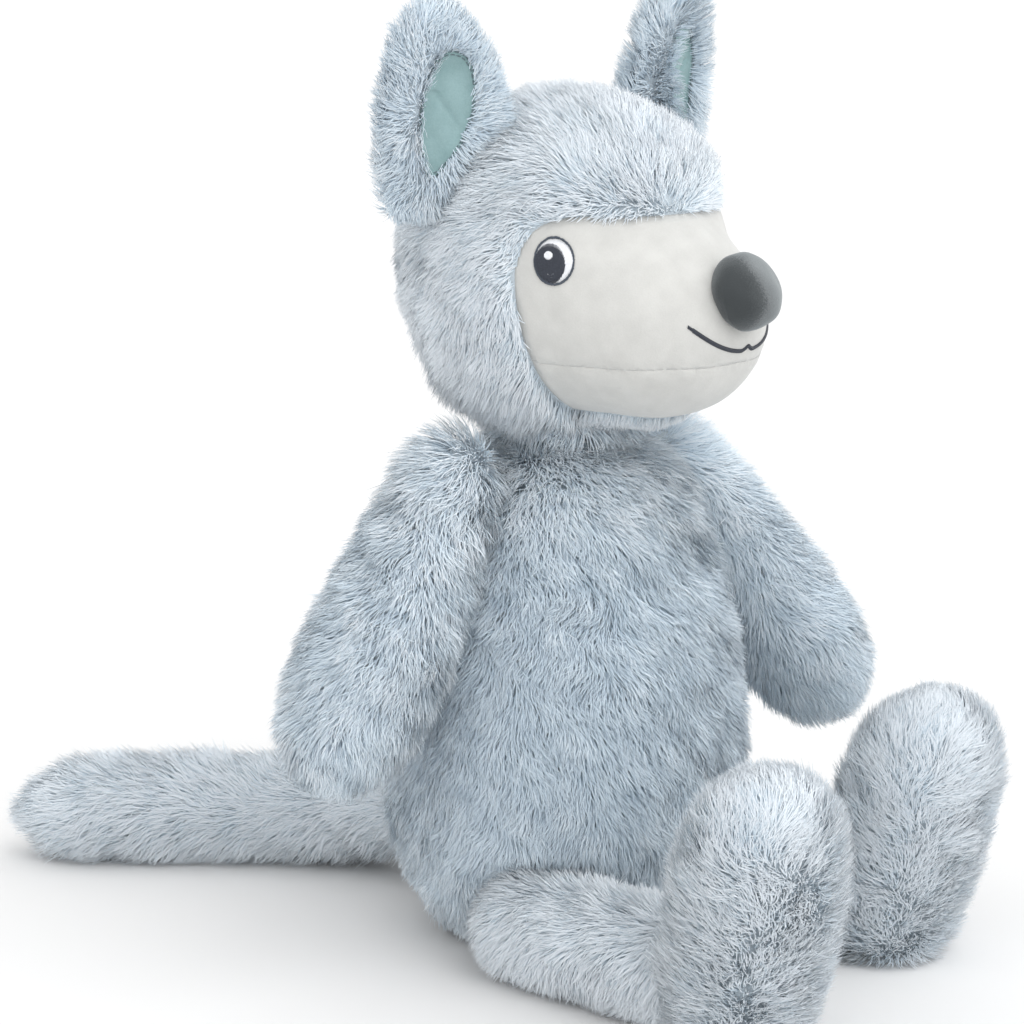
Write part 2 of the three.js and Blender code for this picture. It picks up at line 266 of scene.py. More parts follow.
def backing_material():
    s = Shader("fur_backing", roughness=0.95, sheen=0.2)
    patches = s.noise(9 * MM, 4)
    s.colour(s.ramp(patches, ((0.3, (178, 190, 199)), (0.7, (200, 210, 217)))))
    knit = s.node("ShaderNodeTexVoronoi", {"Vector": s.coordinates(), "Scale": 1 / (0.7 * MM)})
    s.bump((knit.outputs["Distance"], 0.25 * MM, 0.6), (patches, 0.8 * MM, 0.5))
    return s.material


def velour_material(name, rgb, spread=5, sheen=0.35):
    """Short cut pile: a fine nap, and soft blotches where the nap has been brushed."""
    s = Shader(name, roughness=0.92, sheen=sheen, specular=0.2)
    brushed = s.noise(7 * MM, 5)
    nap = s.noise(0.45 * MM, 2)
    mixed = s.math("ADD", s.math("MULTIPLY", brushed, 0.7), s.math("MULTIPLY", nap, 0.3))
    s.colour(s.ramp(mixed, ((0.35, shades(rgb, -spread)), (0.5, rgb), (0.65, shades(rgb, spread)))))
    s.bump((nap, 0.12 * MM, 0.5), (brushed, 0.5 * MM, 0.35))
    return s.material


def nose_material():
    s = Shader("nose_velvet", roughness=0.88, sheen=0.5, specular=0.2)
    s.surface.inputs["Sheen Tint"].default_value = linear((205, 210, 212))
    across = s.node("ShaderNodeSeparateXYZ", {"Vector": s.coordinates()}).outputs["X"]
    nap = s.noise(0.4 * MM, 3)
    brushed = s.noise(5 * MM, 3)
    # Painted light: the nose is painted lighter towards +X, the side the lamps light, where the
    # velvet's nap also catches the light.
    side = s.math("MULTIPLY", s.math("ADD", across, 7 * MM), 90)
    mixed = s.math("ADD", s.math("ADD", side, s.math("MULTIPLY", nap, 0.5)),
                   s.math("MULTIPLY", brushed, 0.2))
    s.colour(s.ramp(mixed, ((0.3, (62, 66, 68)), (0.55, (76, 80, 82)), (0.7, (108, 112, 114)),
                            (1.0, (124, 129, 131)))))
    s.bump((nap, 0.15 * MM, 0.7), (brushed, 0.4 * MM, 0.3))
    return s.material


def thread_material(name, rgb, roughness=0.5):
    s = Shader(name, roughness=roughness, sheen=0.15, specular=0.45)
    twist = s.noise(0.3 * MM, 3)
    s.colour(s.ramp(twist, ((0.3, shades(rgb, -10)), (0.7, shades(rgb, 12)))))
    s.bump((twist, 0.06 * MM, 0.6))
    return s.material


def filling_material():
    s = Shader("fibre_filling", roughness=0.95, sheen=0.3)
    lumps = s.noise(6 * MM, 5)
    fibres = s.noise(0.8 * MM, 6, (1, 1, 0.25))
    s.colour(s.ramp(lumps, ((0.3, (222, 222, 218)), (0.7, (246, 246, 243)))))
    s.bump((fibres, 0.5 * MM, 0.8), (lumps, 1.5 * MM, 0.6))
    return s.material


def bag_material():
    s = Shader("bead_bag_cloth", roughness=0.9, sheen=0.1)
    beads = s.node("ShaderNodeTexVoronoi", {"Vector": s.coordinates(), "Scale": 1 / (4 * MM)})
    weave = s.noise(0.5 * MM, 2)
    s.colour(s.ramp(weave, ((0.3, (206, 200, 186)), (0.7, (228, 223, 210)))))
    s.bump((beads.outputs["Distance"], 1.2 * MM, 0.7), (weave, 0.15 * MM, 0.6))
    return s.material


# Each strand of pile is dark at its root and frosted at its tip. Its tone is one of these.
TONES = ((159, 182, 198), (172, 194, 208), (185, 204, 218), (196, 213, 226),
         (206, 221, 233), (216, 230, 240), (227, 238, 246), (238, 245, 251))


def tone_material(number, rgb):
    s = Shader(f"pile_tone_{number}", roughness=0.9, sheen=0.7, specular=0.1)
    s.surface.inputs["Base Color"].default_value = linear(rgb)
    return s.material


pile_tones = [tone_material(i, rgb) for i, rgb in enumerate(TONES)]
fur_backing = backing_material()
filling = filling_material()
bead_bag = bag_material()
face_velour = velour_material("face_velour", (201, 201, 198), 5)
ear_velour = velour_material("ear_velour", (138, 166, 168), 9)
nose_velvet = nose_material()
dark_thread = thread_material("thread_navy", (46, 51, 62))
white_thread = thread_material("thread_white", (232, 234, 238))
slate_thread = thread_material("thread_slate", (66, 74, 86))
grey_thread = thread_material("thread_grey", (98, 116, 122))

# ---------------------------------------------------------------- stuffed forms


class Form:
    """A closed surface of quads with its normals."""

    def __init__(self, points, quads):
        self.points = points
        self.quads = quads
        self.refresh()

    def refresh(self):
        a, b, c, d = (self.points[self.quads[:, i]] for i in range(4))
        across = np.cross(c - a, d - b)
        normals = np.zeros_like(self.points)
        for i in range(4):
            np.add.at(normals, self.quads[:, i], across)
        self.normals = unit(normals)
        self.centres = (a + b + c + d) / 4
        self.face_normals = unit(across)

    def moved(self, offset):
        return Form(self.points + self.normals * np.reshape(offset, (-1, 1)), self.quads)

    def mesh(self, name):
        return mesh_from(name, self.points, [(self.quads, 0)])


def biggest_island(points, quads):
    """Only the largest connected part, so that hollows inside a form are dropped."""
    label = np.arange(len(points))
    while True:
        low = label[quads].min(1)
        before = label.copy()
        for i in range(4):
            np.minimum.at(label, quads[:, i], low)
        label = label[label]
        if (label == before).all():
            break
    names, counts = np.unique(label[quads[:, 0]], return_counts=True)
    kept = quads[label[quads[:, 0]] == names[counts.argmax()]]
    used, corners = np.unique(kept, return_inverse=True)
    return points[used], corners.reshape(-1, 4)


def quads_of(mesh):
    corners = np.empty(len(mesh.loops), np.int32)
    mesh.loops.foreach_get("vertex_index", corners)
    return corners.reshape(-1, 4)


PRESSURE = 4
SWELL_FRAMES = 20


def swollen(form, most):
    """The form blown up from inside like a sewn cover over its filling, moving at most that far."""
    mesh = form.mesh("swelling")
    holder = bpy.data.objects.new("swelling", mesh)
    scene.collection.objects.link(holder)
    cloth = holder.modifiers.new("cloth", "CLOTH")
    cloth.settings.use_pressure = True
    cloth.settings.uniform_pressure_force = PRESSURE
    cloth.settings.quality = 4
    cloth.settings.effector_weights.gravity = 0
    cloth.point_cache.frame_start = 1
    cloth.point_cache.frame_end = SWELL_FRAMES
    for step in range(1, SWELL_FRAMES + 1):
        scene.frame_set(step)
    graph = bpy.context.evaluated_depsgraph_get()
    result = bpy.data.meshes.new_from_object(holder.evaluated_get(graph))
    move = points_of(result) - form.points
    scene.frame_set(1)
    bpy.data.objects.remove(holder)
    far = np.linalg.norm(move, axis=1, keepdims=True)
    return Form(form.points + move * np.minimum(1, most / np.maximum(far, 1e-9)), form.quads)


def stuffed_form(nodes, voxel=3.6 * MM, shrink=0.4 * MM, swell=2.2 * MM, smoothing=8):
    """One smooth closed form round these CAD solids, swollen a little by its filling."""
    points, corners, offset = [], [], 0
    for node in nodes:
        mesh = frame["nodes"][node].data
        points += [v.co.copy() for v in mesh.vertices]
        corners += [[i + offset for i in p.vertices] for p in mesh.polygons]
        offset = len(points)
    joined = bpy.data.meshes.new("joined")
    joined.from_pydata(points, [], corners)
    remesh = ("REMESH", {"mode": "VOXEL", "voxel_size": voxel, "adaptivity": 0})
    rounded = modified(joined, remesh)
    form = Form(*biggest_island(points_of(rounded), quads_of(rounded)))
    smooth = ("SMOOTH", {"factor": 0.5, "iterations": smoothing})
    form = Form(points_of(modified(form.mesh("rounded"), smooth)), form.quads).moved(-shrink)
    form = swollen(form, swell)
    fine = modified(form.mesh("fine"), ("SUBSURF", {"levels": 1}))
    return Form(points_of(fine), quads_of(fine))


def nearest_cover(form, nodes):
    """For each face of the form, the number of the CAD solid that lies nearest."""
    distances = []
    for node in nodes:
        tree = tree_of(node)
        distances.append([tree.find_nearest(Vector(c))[3] for c in form.centres])
    return np.argmin(distances, axis=0)


def cover_mesh(name, form, keep, thick=1.2 * MM):
    """The kept faces of a form as sewn cloth of an even thickness, which goes inwards."""
    used, corners = np.unique(form.quads[keep], return_inverse=True)
    corners = corners.reshape(-1, 4)
    n = len(used)
    outer, inner = form.points[used], form.points[used] - form.normals[used] * thick
    edges = np.concatenate([corners[:, [i, (i + 1) % 4]] for i in range(4)])
    keys = edges[:, 0] * n + edges[:, 1]
    back = edges[:, 1] * n + edges[:, 0]
    rim = edges[~np.isin(keys, back)]
    walls = np.stack([rim[:, 1], rim[:, 0], rim[:, 0] + n, rim[:, 1] + n], axis=1)
    faces = np.concatenate([corners, corners[:, ::-1] + n, walls])
    return mesh_from(name, np.concatenate([outer, inner]), [(faces, 0)])


def filling_mesh(name, form, inwards=2.6 * MM, low=None, high=None):
    """Loose filling that keeps inside a form, with soft lumps, cut level where it ends."""
    lumps = Waves(11 * MM, 5)(form.points) * 0.5 * MM
    mesh = form.moved(-inwards + lumps).mesh(name)
    for height, way in ((low, -1), (high, 1)):
        if height is None:
            continue
        work = bmesh.new()
        work.from_mesh(mesh)
        everything = work.verts[:] + work.edges[:] + work.faces[:]
        cut = bmesh.ops.bisect_plane(work, geom=everything, plane_co=(0, 0, height),
                                     plane_no=(0, 0, way), clear_outer=True)
        rim = [e for e in cut["geom_cut"] if isinstance(e, bmesh.types.BMEdge)]
        bmesh.ops.holes_fill(work, edges=rim, sides=0)
        work.to_mesh(mesh)
        work.free()
    mesh.shade_smooth()
    return mesh


# ---------------------------------------------------------------- pile

STRAND_SHARES = np.array([0.0, 0.3, 0.66, 1.0])
STRAND_WIDTHS = np.array([0.3, 0.33, 0.23])
LENGTH = 9 * MM
LAY = 64  # degrees from upright at the middle of a strand
TONE = 4.6
TONE_STEPS = (-1.3, -0.1, 1.2)  # root, middle and tip
DENSITY = 2.6 / MM**2
TUFT_SPACING = 2.4 * MM
FLOOR_CLEARANCE = 0.4 * MM
STRAND_DEPTH = 0.04 * MM
EVENING = 0.25  # how far a strand is lit by its own side, and not as part of the coat
MOST_STRANDS = 24500
swirls = Waves(34 * MM, 11)
curls = Waves(13 * MM, 12)
lifting = Waves(16 * MM, 13)
patches = Waves(12 * MM, 14)


def strands_on(form, keep, comb, length, lay, trim):
    """The four points of every strand on some faces, and the cloth's normal at its root."""
    quads = form.quads[keep]
    corners = np.concatenate([quads[:, [0, 1, 2]], quads[:, [0, 2, 3]]])
    a, b, c = (form.points[corners[:, i]] for i in range(3))
    areas = np.linalg.norm(np.cross(b - a, c - a), axis=1) / 2
    count = int(areas.sum() * DENSITY)
    pick = np.searchsorted(np.cumsum(areas) / areas.sum(), random.random(count))
    pick = np.minimum(pick, len(corners) - 1)
    u, v = random.random(count), random.random(count)
    u, v = np.where(u + v > 1, 1 - u, u), np.where(u + v > 1, 1 - v, v)
    shares = np.stack([1 - u - v, u, v], axis=1)[:, :, None]
    roots = (form.points[corners[pick]] * shares).sum(1)
    normals = unit((form.normals[corners[pick]] * shares).sum(1))

    wanted = comb(roots)
    flat = unit(wanted - dots(wanted, normals) * normals)
    turn = 0.3 * swirls(roots) + 0.34 * curls(roots) + random.normal(0, 0.4, count)
    side = np.cross(normals, flat)
    flat = flat * np.cos(turn)[:, None] + side * np.sin(turn)[:, None]
    rest = lay(roots) if callable(lay) else lay
    angle = np.radians(rest - 5 * lifting(roots) + random.normal(0, 8, count))
    reach = length * random.uniform(0.84, 1.08, count) * (1 + 0.07 * patches(roots))
    if trim is not None:
        reach = reach * trim(roots)

    rows = [roots - normals * 0.5 * MM]
    for before, after in zip(STRAND_SHARES[:-1], STRAND_SHARES[1:]):
        bend = angle * (0.45 + 0.65 * (before + after) / 2)
        way = normals * np.cos(bend)[:, None] + flat * np.sin(bend)[:, None]
        rows.append(rows[-1] + way * (reach * (after - before))[:, None])
    return np.stack(rows, axis=1), normals


def gathered(rows):
    """Strands drawn towards a neighbour, so that their tips lie together in tufts."""
    count = len(rows)
    roots = rows[:, 0]
    spread = max(1, int(count * (TUFT_SPACING**-2) / DENSITY))
    guides = random.choice(count, spread, replace=False)
    tree = KDTree(spread)
    for i, guide in enumerate(guides):
        tree.insert(roots[guide], i)
    tree.balance()
    chosen = guides[[tree.find(root)[1] for root in roots]]
    pull = random.uniform(0, 0.36, count)[:, None]
    for k in range(1, len(STRAND_SHARES)):
        share = pull * STRAND_SHARES[k] ** 1.4
        rows[:, k] += (rows[chosen, k] - rows[:, k]) * share
    return rows


def pile_mesh(name, form, keep, comb, length=LENGTH, lay=LAY, tone=TONE, trim=None):
    """Flat strands, each of three faces above and two below that are lit by their own side."""
    rows, normals = strands_on(form, keep, comb, length, lay, trim)
    rows = gathered(rows)
    rows[:, :, 2] = np.maximum(rows[:, :, 2], FLOOR_CLEARANCE)
    count = len(rows)
    along = unit(rows[:, 3] - rows[:, 0])
    across = unit(np.cross(along, normals))
    lifted = np.cross(across, along)
    twist = random.normal(0, 0.2, count)[:, None]
    across = across * np.cos(twist) + lifted * np.sin(twist)
    upper = unit(np.cross(across, along))
    over_light = unit(upper * EVENING + normals * (1 - EVENING))
    under_light = unit(along - upper)
    thick = random.uniform(0.8, 1.2, count)[:, None]
    edges = []
    for k, width in enumerate(STRAND_WIDTHS):
        half = across * thick * width * MM / 2
        edges += [rows[:, k] - half, rows[:, k] + half]
    edges.append(rows[:, 3])
    points = edges + [edge - upper * STRAND_DEPTH for edge in edges[2:]]
    per, over = len(points), len(edges)
    points = np.stack(points, axis=1).reshape(-1, 3)
    light = np.stack([over_light] * over + [under_light] * (per - over), axis=1).reshape(-1, 3)
    first = (np.arange(count) * per)[:, None]
    low = first + np.array([[0, 1, 3, 2]])
    middle = first + np.array([[2, 3, 5, 4]])
    tip = first + np.array([[4, 5, 6]])
    under_middle = first + np.array([[9, 10, 8, 7]])
    under_tip = first + np.array([[11, 10, 9]])
    tone = tone(rows[:, 0]) if callable(tone) else tone
    shade = tone + 0.55 * patches(rows[:, 0]) + random.normal(0, 0.45, count)
    last = len(TONES) - 1
    steps = [np.clip(np.round(shade + step), 0, last) for step in TONE_STEPS]
    mesh = mesh_from(name, points, [(low, steps[0]), (middle, steps[1]), (tip, steps[2]),
                                    (under_middle, steps[1]), (under_tip, steps[2])])
    mesh.normals_split_custom_set_from_vertices(light.astype(np.float32))
    return mesh


def add_pile(name, form, keep, body, comb, **pile):
    """The pile on some faces of a form, in as many pieces as its strands need."""
    quads = form.quads[keep]
    a, b, c, d = (form.points[quads[:, i]] for i in range(4))
    area = np.linalg.norm(np.cross(c - a, d - b), axis=1).sum() / 2
    parts = int(area * DENSITY / MOST_STRANDS) + 1
    heights = form.centres[:, 2]
    cuts = np.quantile(heights[keep], np.linspace(0, 1, parts + 1))
    for i in range(parts):
        within = keep & (heights >= cuts[i]) & (heights < cuts[i + 1] + (i == parts - 1))
        label = f"{name}_pile" if parts == 1 else f"{name}_pile_{i + 1}"
        piece(label, pile_mesh(label, form, within, comb, **pile), body, pile_tones)


def furred(name, form, keep, node, body, comb, pile_keep=None, fill=0.85, **pile):
    """A sewn cover and the pile on it."""
    piece(f"{name}_cloth", cover_mesh(name, form, keep), body, [fur_backing],
          replaces=[node])
    add_pile(name, form, keep if pile_keep is None else pile_keep, body, comb, **pile)


def box_of(*nodes):
    lows, highs = zip(*(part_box(n) for n in nodes))
    return np.min(lows, axis=0), np.max(highs, axis=0)


# ---------------------------------------------------------------- torso

torso_nodes = ["torso_front_cover", "torso_back_cover", "seat_panel", "torso_stuffing",
               "seat_pellet_bag"]
torso = stuffed_form(torso_nodes)
torso_low, torso_high = box_of("torso_front_cover", "torso_back_cover")
whorl = np.array([0.5 * torso_low[0], 0.9 * torso_low[1], 0.7 * torso_high[2]])


def torso_comb(points):
    """Down the body, away from a whorl on the belly."""
    ahead = np.clip(points[:, 1:2] / (18 * MM), -1, 1)
    high = np.clip((points[:, 2:] - 0.75 * torso_high[2]) / (0.15 * torso_high[2]), 0, 1)
    down = ahead * (0.05 + 0.5 * high) * np.array([0, 1.0, 0]) + np.array([0, 0, -1.0])
    from_whorl = points - whorl
    near = np.exp(-(np.linalg.norm(from_whorl, axis=1, keepdims=True) / (11 * MM)) ** 2)
    return down * (1 - near) + unit(from_whorl) * 1.6 * near


joint_at = {j["child"]: np.array(j["pos_m"]) for j in frame["joints"]}
leg_lines = []
for side in ("right", "left"):
    foot_low, foot_high = box_of(f"foot_{side}_cover")
    hip = joint_at[f"leg_{side}"]
    ankle = np.array([(foot_low[0] + foot_high[0]) / 2, (foot_low[1] + foot_high[1]) / 2, hip[2]])
    leg_lines.append((hip, ankle))


def near_neck(points):
    return np.clip((points[:, 2] - 0.78 * torso_high[2]) / (0.15 * torso_high[2]), 0, 1)


def torso_trim(points):
    """Long round the neck, and pressed short beside the legs."""
    length = 1 + 0.35 * near_neck(points)
    for hip, ankle in leg_lines:
        t = np.clip(((points - hip) @ (ankle - hip)) / ((ankle - hip) ** 2).sum(), 0, 1)
        gap = np.linalg.norm(points - hip - t[:, None] * (ankle - hip), axis=1)
        length *= 0.35 + 0.65 * np.clip((gap - 16 * MM) / (12 * MM), 0, 1)
    return length


def torso_lay(points):
    return LAY + 8 * near_neck(points)


# Painted light: the coat's tone is raised round the neck, in the shade under the head, and low down
# by the floor, to lift the shade there.
def torso_tone_painted_light(points):
    return 3.5 + 1.6 * near_neck(points) + 0.8 * np.clip(1.5 - points[:, 2] / (40 * MM), 0, 1)


which = nearest_cover(torso, torso_nodes[:3])
above_floor = torso.face_normals[:, 2] > -0.8
for number, node in enumerate(torso_nodes[:2]):
    keep = which == number
    furred(node.replace("_cover", ""), torso, keep, node, "torso", torso_comb,
           pile_keep=keep & above_floor, trim=torso_trim, lay=torso_lay, tone=torso_tone_painted_light)
piece("seat_panel_cloth", cover_mesh("seat", torso, which == 2), "torso",
      [fur_backing], replaces=["seat_panel"])
bag_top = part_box("seat_pellet_bag")[1].z
piece("torso_filling", filling_mesh("torso_filling", torso, low=bag_top + 0.5 * MM), "torso",
      [filling], replaces=["torso_stuffing"])
piece("seat_bead_bag", filling_mesh("seat_bead_bag", torso, high=bag_top), "torso",
      [bead_bag], replaces=["seat_pellet_bag"])


neck = stuffed_form(["neck_stuffing"], voxel=2 * MM, shrink=0.4 * MM, swell=0.6 * MM)
neck.points[:, :2] *= 1.7
neck.refresh()
everywhere = np.ones(len(neck.quads), bool)
piece("neck_cloth", cover_mesh("neck", neck, everywhere, 1 * MM), "neck",
      [fur_backing], replaces=["neck_stuffing"])
# Tone 5, lighter than the coat's, is painted light in the shade under the head.
add_pile("neck", neck, everywhere, "neck", lambda points: np.array([0, 0, -1.0]),
         length=11 * MM, lay=50, tone=5)

# ---------------------------------------------------------------- limbs and tail


def arm_comb(hinge, tip, near, sign):
    """Along the arm, and outwards and back over the shoulder."""
    axis = unit(tip - hinge)

    def comb(points):
        return axis + near(points)[:, None] * np.array([0.5 * sign, 0.6, 0])
    return comb


for side, sign in SIDES:
    body = f"arm_{side}"
    nodes = [f"arm_{side}_outer_cover", f"arm_{side}_inner_cover"]
    form = stuffed_form(nodes + [f"arm_{side}_stuffing"], voxel=3.2 * MM)
    far = form.points[np.linalg.norm(form.points - joint_at[body], axis=1).argmax()]

    def near_shoulder(points, at=joint_at[body]):
        return np.clip(1.2 - np.linalg.norm(points - at, axis=1) / (28 * MM), 0, 1)

    def shoulder_trim(points, near=near_shoulder):
        return 1.08 + 0.3 * near(points)

    def shoulder_lay(points, near=near_shoulder):
        return LAY + 6 * near(points)

    # Painted light: the pile is painted lighter near the shoulder, to lift the shade in the
    # partings there.
    def shoulder_tone_painted_light(points, near=near_shoulder):
        return TONE - 0.2 + near(points)

    which = nearest_cover(form, nodes)
    for number, node in enumerate(nodes):
        furred(node.replace("_cover", ""), form, which == number, node, body,
               arm_comb(joint_at[body], far, near_shoulder, sign), trim=shoulder_trim,
               lay=shoulder_lay, tone=shoulder_tone_painted_light)
    piece(f"arm_{side}_filling", filling_mesh(f"arm_{side}_filling", form), body,
          [filling], replaces=[f"arm_{side}_stuffing"])

for side, sign in SIDES:
    body = f"leg_{side}"
    nodes = [f"leg_{side}_cover", f"foot_{side}_cover", f"foot_{side}_sole"]
    inner = [f"leg_{side}_stuffing", f"foot_{side}_stuffing"]
    form = stuffed_form(nodes + inner, voxel=3.2 * MM)
    low, high = box_of(*nodes[1:])
    heel = np.array([(low[0] + high[0]) / 2, (low[1] + high[1]) / 2, 0.3 * high[2]])

    def leg_comb(points, sign=sign):
        return np.array([0.1 * sign, 0.35, -1.0])

    def foot_comb(points, heel=heel, sign=sign):
        return 0.3 * unit(points - heel) + np.array([0.1 * sign, 0.3, 1.0])

    def sole_comb(points, heel=heel):
        return np.array([0, 0, 1.0]) + 0.15 * unit(points - heel)

    which = nearest_cover(form, nodes)
    # Painted light: the legs and feet take lighter tones than the coat, and the soles lighter
    # still, to lift the shade that falls on them low by the body and floor.
    for number, (node, comb) in enumerate(zip(nodes, (leg_comb, foot_comb, sole_comb))):
        keep = which == number
        furred(node.replace("_cover", ""), form, keep, node, body, comb,
               tone=6.9 if node.endswith("sole") else 6.3,
               pile_keep=keep & (form.face_normals[:, 2] > -0.9))
    piece(f"leg_{side}_filling", filling_mesh(f"leg_{side}_filling", form), body,
          [filling], replaces=inner)

tail_nodes = ["tail_upper_cover", "tail_lower_cover"]
tail = stuffed_form(tail_nodes + ["tail_stuffing"], voxel=3.2 * MM)
tail_from = joint_at["tail"]
away = np.linalg.norm(tail.points - tail_from, axis=1)
bins = np.linspace(away.min(), away.max(), 9)
route = np.array([tail.points[np.abs(away - a) < 9 * MM].mean(0) for a in bins])


def tail_comb(points):
    """Along the tail's own route, from the seat to the tip."""
    steps = np.gradient(route, axis=0)
    nearest = ((points[:, None] - route[None]) ** 2).sum(2)
    weights = np.exp(-nearest / (22 * MM) ** 2)
    return (weights[:, :, None] * unit(steps)[None]).sum(1)


which = nearest_cover(tail, tail_nodes)
for number, node in enumerate(tail_nodes):
    furred(node.replace("_cover", ""), tail, which == number, node, "tail", tail_comb,
           length=12 * MM, tone=6)
piece("tail_filling", filling_mesh("tail_filling", tail), "tail", [filling],
      replaces=["tail_stuffing"])

# ---------------------------------------------------------------- head

cover_high = box_of("head_right_cover", "head_left_cover")[1]
panel_low, panel_high = box_of("face_panel", "chin_panel")
HEAD_HALF = np.array([1, 0.979, 0.989]) * cover_high[0]
HEAD_MIDDLE = np.array([0, cover_high[1] - HEAD_HALF[1], cover_high[2] - HEAD_HALF[2]])
MUZZLE_HALF = np.array([0.831, 0.819, 0.711]) * panel_high[0]
MUZZLE_MIDDLE = np.array([0, panel_low[1] + MUZZLE_HALF[1], panel_low[2] + MUZZLE_HALF[2] + 3 * MM])
HEART = np.array([0, 0.31 * MUZZLE_MIDDLE[1], HEAD_MIDDLE[2] - 6 * MM])
BLEND = 7 * MM
FACE_BACK = -18.5 * MM
SEAM_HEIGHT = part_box("chin_panel")[1].z + 2 * MM
seam_pucker = Waves(2.6 * MM, 21)
softness = Waves(24 * MM, 22)


def exit_of(ways, middle, half):
    """How far each ray from the head's heart goes before it leaves an ellipsoid."""
    start = (HEART - middle) / half
    way = ways / half
    a, b = (way**2).sum(1), (way * start).sum(1)
    return (-b + np.sqrt(b * b - a * ((start**2).sum() - 1))) / a


def head_reach(ways):
    skull = exit_of(ways, HEAD_MIDDLE, HEAD_HALF)
    muzzle = exit_of(ways, MUZZLE_MIDDLE, MUZZLE_HALF)
    return (skull + muzzle + np.sqrt((skull - muzzle) ** 2 + BLEND**2)) / 2


def face_outline():
    """The face panel's outline seen from the front, as one closed run of points."""
    wide, top = panel_high[0] + 3.6 * MM, panel_high[2] + 1.5 * MM
    cheek, chin = SEAM_HEIGHT + 12 * MM, panel_low[2] + 4 * MM
    runs = (((-wide, cheek), (-wide, top - 4 * MM), (-wide + 5 * MM, top + 1 * MM),
             (-wide + 24 * MM, top - 2 * MM)),
            ((wide - 24 * MM, top - 2 * MM), (wide - 5 * MM, top + 1 * MM), (wide, top - 4 * MM),
             (wide, cheek)),
            ((wide, cheek), (wide - 6 * MM, chin + 9 * MM), (wide - 16 * MM, chin), (0, chin)),
            ((0, chin), (-wide + 16 * MM, chin), (-wide + 6 * MM, chin + 9 * MM), (-wide, cheek)))
    t = np.linspace(0, 1, 16)[:-1, None]
    parts = []
    for p0, p1, p2, p3 in (np.array(run) for run in runs):
        parts.append((1 - t) ** 3 * p0 + 3 * (1 - t) ** 2 * t * p1
                     + 3 * (1 - t) * t**2 * p2 + t**3 * p3)
    return np.concatenate(parts)


OUTLINE = face_outline()


def outside_face(points):
    """Distance outside the face panels, below zero on them."""
    flat = points[:, [0, 2]]
    a, b = OUTLINE, np.roll(OUTLINE, -1, axis=0)
    step = b - a
    t = np.clip(((flat[:, None] - a) * step).sum(2) / (step**2).sum(1), 0, 1)
    near = np.linalg.norm(flat[:, None] - a - t[:, :, None] * step, axis=2).min(1)
    x, z = flat[:, :1], flat[:, 1:]
    crosses = (a[:, 1] > z) != (b[:, 1] > z)
    at = a[:, 0] + (z - a[:, 1]) * step[:, 0] / np.where(step[:, 1] == 0, 1e-9, step[:, 1])
    inside = ((x < at) & crosses).sum(1) % 2 == 1
    return np.maximum(np.where(inside, -near, near), points[:, 1] - FACE_BACK)


def ball_of_quads(cuts):
    """A unit sphere of even quads: a cube's faces pushed out."""
    s = np.tan(np.linspace(-1, 1, cuts + 1) * np.pi / 4)
    u, v = np.meshgrid(s, s, indexing="ij")
    grids, quads, offset = [], [], 0
    index = np.arange((cuts + 1) ** 2).reshape(cuts + 1, cuts + 1)
    cell = np.stack([index[:-1, :-1], index[1:, :-1], index[1:, 1:], index[:-1, 1:]], -1)
    cell = cell.reshape(-1, 4)
    for axis in range(3):
        for way in (-1, 1):
            p = np.empty((cuts + 1, cuts + 1, 3))
            p[..., axis], p[..., (axis + 1) % 3], p[..., (axis + 2) % 3] = way, u, v
            grids.append(p.reshape(-1, 3))
            quads.append((cell if way > 0 else cell[:, ::-1]) + offset)
            offset += len(grids[-1])
    points = unit(np.concatenate(grids))
    keys = np.round(points * 1e5).astype(np.int64)
    _, first, back = np.unique(keys, axis=0, return_index=True, return_inverse=True)
    return points[first], back.reshape(-1)[np.concatenate(quads)]


def snapped(points, distance, near):
    """Points close to the zero line of a distance moved onto it, along the head's surface."""
    for _ in range(3):
        value = distance(points)
        slope = np.stack([(distance(points + step) - value) for step in np.eye(3) * 0.2 * MM], 1)
        slope /= 0.2 * MM
        size = (slope**2).sum(1, keepdims=True)
        move = np.where(near[:, None], value[:, None] * slope / np.maximum(size, 0.2), 0)
        ways = unit(points - move - HEART)
        points = HEART + ways * head_reach(ways)[:, None]
    return points


ways, head_quads = ball_of_quads(96)
head_points = HEART + ways * head_reach(ways)[:, None]


def border_points(quads, points, distance):
    """The points that lie between faces on either side of a zero line."""
    inside = distance(points[quads].mean(1)) < 0
    seen_in, seen_out = np.zeros(len(points), bool), np.zeros(len(points), bool)
    seen_in[quads[inside]] = True
    seen_out[quads[~inside]] = True
    return seen_in & seen_out, inside


def below_seam(points):
    return points[:, 2] - SEAM_HEIGHT


edge, on_face = border_points(head_quads, head_points, outside_face)
head_points = snapped(head_points, outside_face, edge)
seam_edge, below = border_points(head_quads, head_points, below_seam)
on_panel = np.zeros(len(head_points), bool)
on_panel[head_quads[on_face]] = True
head_points = snapped(head_points, below_seam, seam_edge & on_panel & ~edge)
head = Form(head_points, head_quads)

rim = outside_face(head.points)
seam_gap = np.abs(below_seam(head.points))
panel = rim < 0.5 * MM
sink = 1.1 * MM * np.exp(-((rim / (1.6 * MM)) ** 2))
groove = 0.25 * MM * np.exp(-((seam_gap / (1.3 * MM)) ** 2))
pucker = 0.16 * MM * seam_pucker(head.points) * np.exp(-seam_gap / (2.6 * MM))
head = head.moved(-sink - np.where(panel, groove - pucker, 0) + 0.25 * MM * softness(head.points))
head_tree = BVHTree.FromPolygons([Vector(p) for p in head.points], head.quads.tolist())

for name, keep in (("face_panel", on_face & ~below), ("chin_panel", on_face & below)):
    piece(f"{name}_velour", cover_mesh(name, head, keep, 1 * MM), "head",
          [face_velour], replaces=[name])
piece("head_filling", filling_mesh("head_filling", head), "head", [filling],
      replaces=["head_stuffing"])

brow = panel_high[2]


